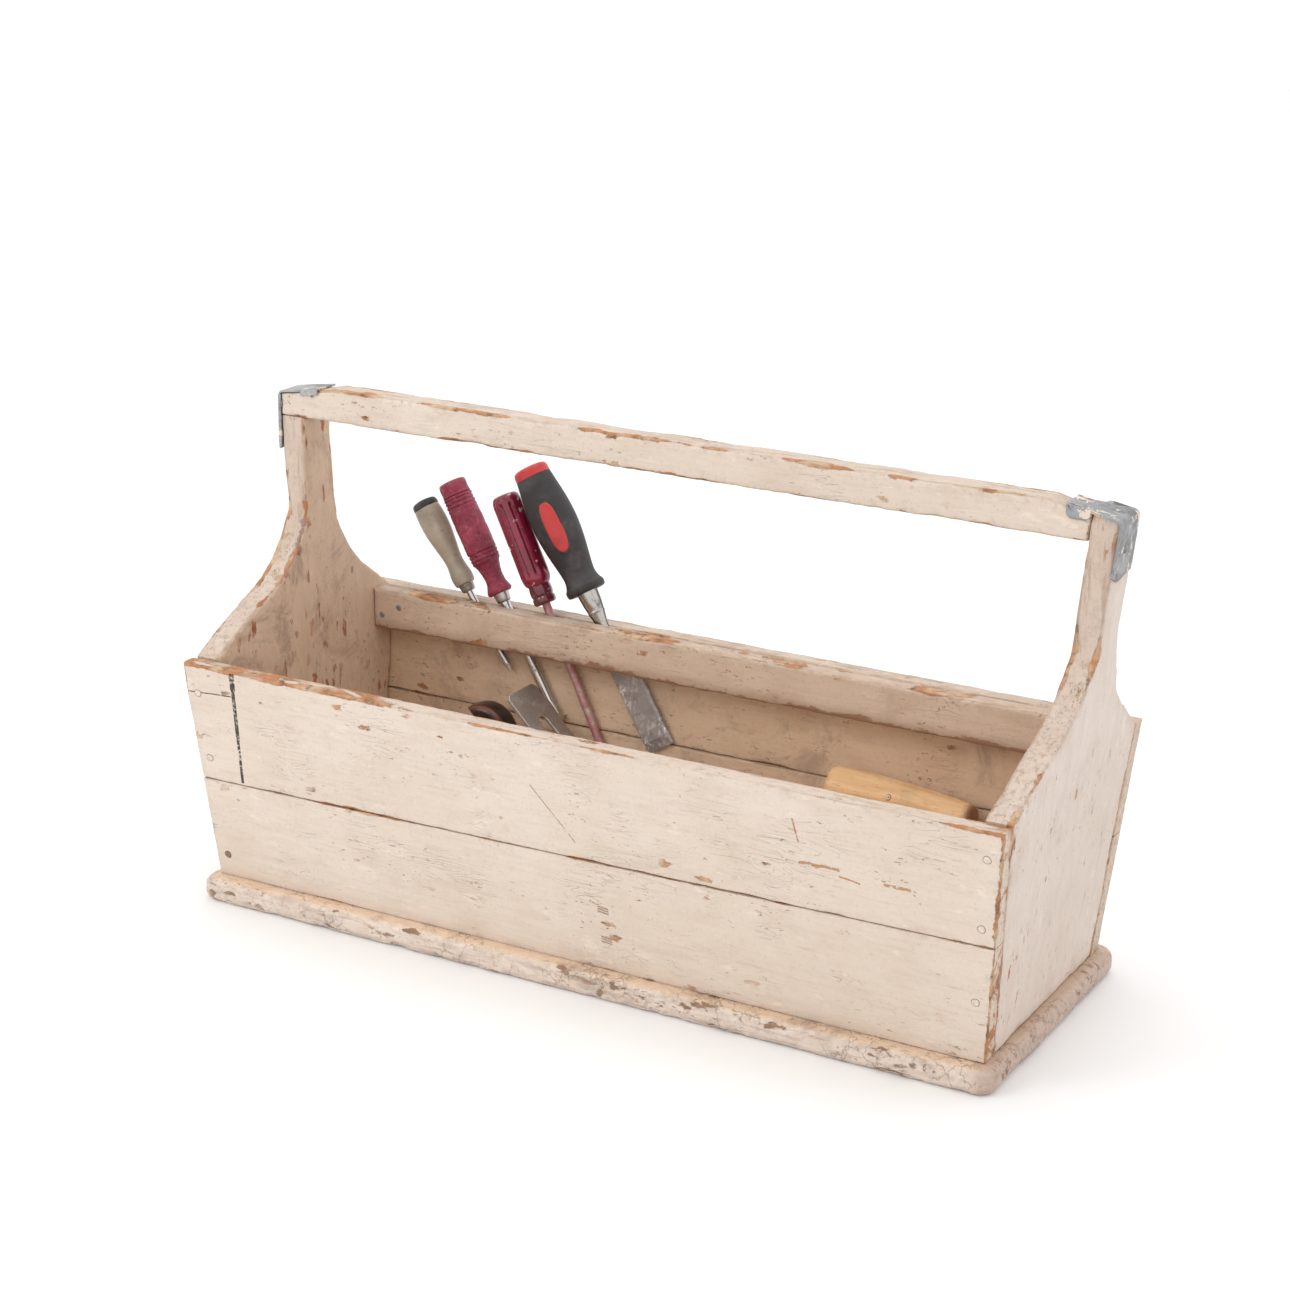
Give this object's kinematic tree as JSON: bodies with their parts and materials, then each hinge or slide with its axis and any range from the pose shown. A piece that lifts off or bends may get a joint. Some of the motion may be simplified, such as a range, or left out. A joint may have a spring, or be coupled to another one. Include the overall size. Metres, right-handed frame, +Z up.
{
  "type": "carpenter toolbox",
  "caption": "Open wooden tool carrier with flared plank walls, shaped end boards, a straight rail handle with metal corner straps, a slotted tool rack and loose hand tools.",
  "frame": {"origin": "Middle of the underside of the base board, on the surface the box stands on.", "axes": "+X runs along the box to the right, -Y faces the front and +Z is up."},
  "size_m": [0.7274, 0.287, 0.4107],
  "materials": {
    "base_paint": "worn cream paint, rounded edges rubbed",
    "wall_paint": "cream paint, brushed on, lightly dirty",
    "end_paint": "cream paint, worn at the edges",
    "rail_paint": "cream paint worn through to orange wood on the upper edge",
    "rack_paint": "thin dirty cream paint, worn edges",
    "strap_metal": "dull galvanised sheet with paint marks",
    "nail_steel": "dull, lightly rusted",
    "grey_wood": "bare weathered wood",
    "black_rubber": "matte",
    "ferrule_steel": "dull plated",
    "bright_steel": "bright plated",
    "red_wood": "crimson paint, rubbed pale",
    "red_plastic": "translucent dark red, paint spots",
    "stained_steel": "steel with red paint stains",
    "cap_plastic": "plain red",
    "blade_steel": "ground steel, scratched",
    "plane_iron_grey": "ground and dull",
    "cutter_steel": "grey brown steel",
    "dark_wood": "dark polished hardwood",
    "brass_nut": "dull",
    "beech_wood": "pale waxed beech",
    "dark_steel": "dark forged steel"
  },
  "bodies": {
    "toolbox": {"base_board": "base_paint", "front_lower_board": "wall_paint", "front_upper_board": "wall_paint", "back_lower_board": "wall_paint", "back_upper_board": "wall_paint", "left_end_board": "end_paint", "right_end_board": "end_paint", "handle_bar": "rail_paint", "left_bracket": "strap_metal", "right_bracket": "strap_metal", "rack_strip": "rack_paint", "left_spacer": "rack_paint", "right_spacer": "rack_paint", "front_nails": "nail_steel", "back_nails": "nail_steel", "rack_nails": "nail_steel", "bracket_nails": "nail_steel"},
    "small_driver": {"small_driver_handle": "grey_wood", "small_driver_cap": "black_rubber", "small_driver_ferrule": "ferrule_steel", "small_driver_shaft": "bright_steel"},
    "red_driver": {"red_driver_handle": "red_wood", "red_driver_ferrule": "ferrule_steel", "red_driver_shaft": "bright_steel"},
    "fluted_driver": {"fluted_driver_handle": "red_plastic", "fluted_driver_collar": "red_plastic", "fluted_driver_shaft": "stained_steel"},
    "chisel": {"chisel_grip": "black_rubber", "chisel_cap": "cap_plastic", "chisel_inset": "cap_plastic", "chisel_blade": "blade_steel"},
    "bench_plane": {"plane_body": "plane_iron_grey", "plane_frog": "plane_iron_grey", "plane_iron": "cutter_steel", "plane_lever_cap": "cutter_steel", "plane_tote": "dark_wood", "plane_knob": "dark_wood", "plane_tote_nut": "brass_nut"},
    "auger": {"auger_handle": "beech_wood", "auger_shank": "dark_steel", "auger_pin": "dark_steel"}
  },
  "joints": [
    {"name": "small_driver_lift", "type": "slide", "parent": "toolbox", "child": "small_driver", "axis": [-0.573, 0.0572, 0.8175], "range_m": [0, 0.12]},
    {"name": "red_driver_lift", "type": "slide", "parent": "toolbox", "child": "red_driver", "axis": [-0.5177, 0.0597, 0.8535], "range_m": [0, 0.15]},
    {"name": "fluted_driver_lift", "type": "slide", "parent": "toolbox", "child": "fluted_driver", "axis": [-0.4991, 0.0605, 0.8644], "range_m": [0, 0.15]},
    {"name": "chisel_lift", "type": "slide", "parent": "toolbox", "child": "chisel", "axis": [-0.4991, 0.0605, 0.8644], "range_m": [0, 0.15]},
    {"name": "bench_plane_lift", "type": "slide", "parent": "toolbox", "child": "bench_plane", "axis": [0, -0.4104, 0.9119], "range_m": [0, 0.15]},
    {"name": "auger_lift", "type": "slide", "parent": "toolbox", "child": "auger", "axis": [0, -0.6, 0.8], "range_m": [0, 0.12]}
  ]
}
